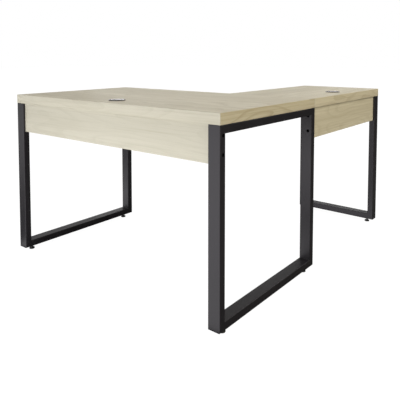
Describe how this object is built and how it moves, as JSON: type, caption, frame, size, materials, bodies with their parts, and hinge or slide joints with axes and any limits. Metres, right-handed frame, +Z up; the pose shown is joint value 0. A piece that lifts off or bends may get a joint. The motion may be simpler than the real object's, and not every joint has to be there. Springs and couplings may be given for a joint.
{
  "type": "corner desk",
  "caption": "L-shaped corner desk with oak-laminate tops on closed black steel tube frames, apron boards under the outer edges, cable grommets and screw-adjusted levelling feet.",
  "frame": {"origin": "centre of the footprint's bounding rectangle, on the floor", "axes": "+Z up; +X along the main wing towards its outer corner; +Y from the visitor side towards the end of the return wing"},
  "size_m": [1.2, 1.49, 0.7585],
  "materials": {
    "oak_laminate": "satin oak laminate",
    "oak_edging": "satin oak edging",
    "oak_apron": "satin oak laminate",
    "black_steel": "satin powder coat",
    "zinc_steel": "zinc plated",
    "glide_plastic": "matte",
    "grommet_plastic": "satin"
  },
  "bodies": {
    "desk": {"main_top": "oak_laminate", "main_top_edging": "oak_edging", "return_top": "oak_laminate", "return_top_edging": "oak_edging", "left_frame_outer_post": "black_steel", "left_frame_inner_post": "black_steel", "left_frame_top_rail": "black_steel", "left_frame_bottom_rail": "black_steel", "corner_frame_outer_post": "black_steel", "corner_frame_inner_post": "black_steel", "corner_frame_top_rail": "black_steel", "corner_frame_bottom_rail": "black_steel", "return_frame_outer_post": "black_steel", "return_frame_inner_post": "black_steel", "return_frame_top_rail": "black_steel", "return_frame_bottom_rail": "black_steel", "main_apron": "oak_apron", "return_apron": "oak_apron", "main_apron_left_bolts": "zinc_steel", "main_apron_right_bolts": "zinc_steel", "return_apron_near_bolts": "zinc_steel", "return_apron_far_bolts": "zinc_steel", "main_apron_cross_dowels": "zinc_steel", "return_apron_cross_dowels": "zinc_steel", "left_frame_top_screws": "zinc_steel", "corner_frame_top_screws": "zinc_steel", "return_frame_top_screws": "zinc_steel", "main_top_inserts": "zinc_steel", "return_top_inserts": "zinc_steel", "outer_joining_plate": "black_steel", "inner_joining_plate": "black_steel", "outer_plate_screws": "zinc_steel", "inner_plate_screws": "zinc_steel", "left_frame_foot_inserts": "zinc_steel", "corner_frame_foot_inserts": "zinc_steel", "return_frame_foot_inserts": "zinc_steel", "left_frame_lock_nuts": "zinc_steel", "corner_frame_lock_nuts": "zinc_steel", "return_frame_lock_nuts": "zinc_steel", "main_grommet_sleeve": "grommet_plastic", "return_grommet_sleeve": "grommet_plastic"},
    "left_outer_foot": {"left_outer_foot_stem": "zinc_steel", "left_outer_foot_glide": "glide_plastic"},
    "left_inner_foot": {"left_inner_foot_stem": "zinc_steel", "left_inner_foot_glide": "glide_plastic"},
    "corner_outer_foot": {"corner_outer_foot_stem": "zinc_steel", "corner_outer_foot_glide": "glide_plastic"},
    "corner_inner_foot": {"corner_inner_foot_stem": "zinc_steel", "corner_inner_foot_glide": "glide_plastic"},
    "return_outer_foot": {"return_outer_foot_stem": "zinc_steel", "return_outer_foot_glide": "glide_plastic"},
    "return_inner_foot": {"return_inner_foot_stem": "zinc_steel", "return_inner_foot_glide": "glide_plastic"},
    "main_grommet_cap": {"main_grommet_cap": "grommet_plastic"},
    "return_grommet_cap": {"return_grommet_cap": "grommet_plastic"}
  },
  "joints": [
    {"name": "left_outer_foot_height", "type": "slide", "parent": "desk", "child": "left_outer_foot", "axis": [0, 0, -1], "range_m": [0, 0.01]},
    {"name": "left_inner_foot_height", "type": "slide", "parent": "desk", "child": "left_inner_foot", "axis": [0, 0, -1], "range_m": [0, 0.01]},
    {"name": "corner_outer_foot_height", "type": "slide", "parent": "desk", "child": "corner_outer_foot", "axis": [0, 0, -1], "range_m": [0, 0.01]},
    {"name": "corner_inner_foot_height", "type": "slide", "parent": "desk", "child": "corner_inner_foot", "axis": [0, 0, -1], "range_m": [0, 0.01]},
    {"name": "return_outer_foot_height", "type": "slide", "parent": "desk", "child": "return_outer_foot", "axis": [0, 0, -1], "range_m": [0, 0.01]},
    {"name": "return_inner_foot_height", "type": "slide", "parent": "desk", "child": "return_inner_foot", "axis": [0, 0, -1], "range_m": [0, 0.01]},
    {"name": "main_cap_lift", "type": "slide", "parent": "desk", "child": "main_grommet_cap", "axis": [0, 0, 1], "range_m": [0, 0.012]},
    {"name": "return_cap_lift", "type": "slide", "parent": "desk", "child": "return_grommet_cap", "axis": [0, 0, 1], "range_m": [0, 0.012]}
  ]
}
